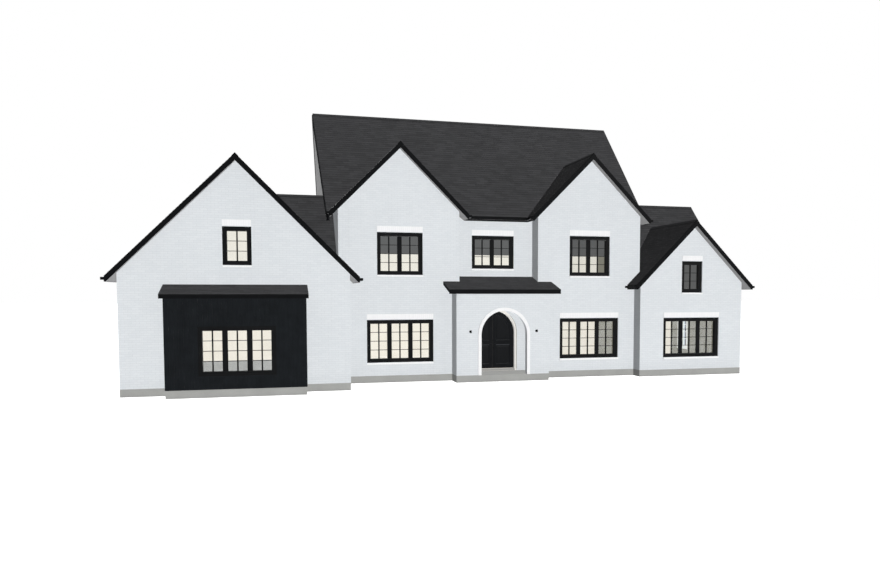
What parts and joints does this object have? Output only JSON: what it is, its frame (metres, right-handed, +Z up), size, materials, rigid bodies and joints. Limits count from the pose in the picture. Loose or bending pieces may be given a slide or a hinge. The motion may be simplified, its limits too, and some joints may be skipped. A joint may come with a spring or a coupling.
{
  "type": "detached house",
  "caption": "Two-storey detached house of white painted brick with steep dark gable roofs, side wings, a boarded bay window, and an arched porch sheltering a double door",
  "frame": {"origin": "centre of the bounding box at ground level, on the underside of the base", "axes": "+Z up, +X right along the front as seen from the street, +Y toward the back; the front door faces -Y"},
  "size_m": [24.375, 12.734, 10.904],
  "materials": {
    "white_brick": "white painted brick, matt, fine joints",
    "concrete": "smooth cast concrete, matt grey",
    "black_siding": "black painted vertical boards, satin",
    "roof_shingle": "charcoal shingles in level courses, matt",
    "white_trim": "white rendered stone trim, matt",
    "door_paint": "black painted timber, satin",
    "floor_wood": "pale floor boards, matt varnish",
    "black_trim": "black painted, satin",
    "window_frame": "black powder coat, satin",
    "window_glass": "clear double glazing",
    "lamp_metal": "black powder coat, matt"
  },
  "bodies": {
    "house": {"foundation": "concrete", "porch_slab": "concrete", "left_wing_front_wall": "white_brick", "left_wing_left_wall": "white_brick", "left_wing_right_wall": "white_brick", "left_wing_back_wall": "white_brick", "bay_walls": "black_siding", "bay_roof": "roof_shingle", "main_left_wall": "white_brick", "main_right_wall": "white_brick", "main_back_wall": "white_brick", "left_gable_wall": "white_brick", "right_gable_wall": "white_brick", "entrance_wall_left": "white_brick", "entrance_wall_right": "white_brick", "entrance_wall_head": "white_brick", "porch_wall_left": "white_brick", "porch_wall_right": "white_brick", "porch_arch_head": "white_brick", "porch_roof": "roof_shingle", "arch_surround": "white_trim", "door_frame": "white_trim", "right_wing_front_wall": "white_brick", "right_wing_right_wall": "white_brick", "right_wing_back_wall": "white_brick", "upper_floor_main": "floor_wood", "upper_floor_wings": "floor_wood", "left_wing_roof": "roof_shingle", "link_roof": "roof_shingle", "main_roof": "roof_shingle", "front_gable_roofs": "roof_shingle", "right_wing_roof": "roof_shingle", "right_wing_gable_roof": "roof_shingle", "ridge_caps": "roof_shingle", "rake_boards": "black_trim", "fascia_boards": "black_trim", "gutters": "black_trim", "front_window_frames": "window_frame", "rear_window_frames": "window_frame", "front_glass": "window_glass", "rear_glass": "window_glass", "lintels_and_sills": "white_trim", "porch_lights": "lamp_metal"},
    "left_leaf": {"door_leaf_left": "door_paint"},
    "right_leaf": {"door_leaf_right": "door_paint"}
  },
  "joints": [
    {"name": "left_leaf_hinge", "type": "hinge", "parent": "house", "child": "left_leaf", "pos_m": [0.5595, -2.318, 1], "axis": [0, 0, 1], "range_deg": [0, 95]},
    {"name": "right_leaf_hinge", "type": "hinge", "parent": "house", "child": "right_leaf", "pos_m": [2.3635, -2.318, 1], "axis": [0, 0, -1], "range_deg": [0, 95]}
  ]
}
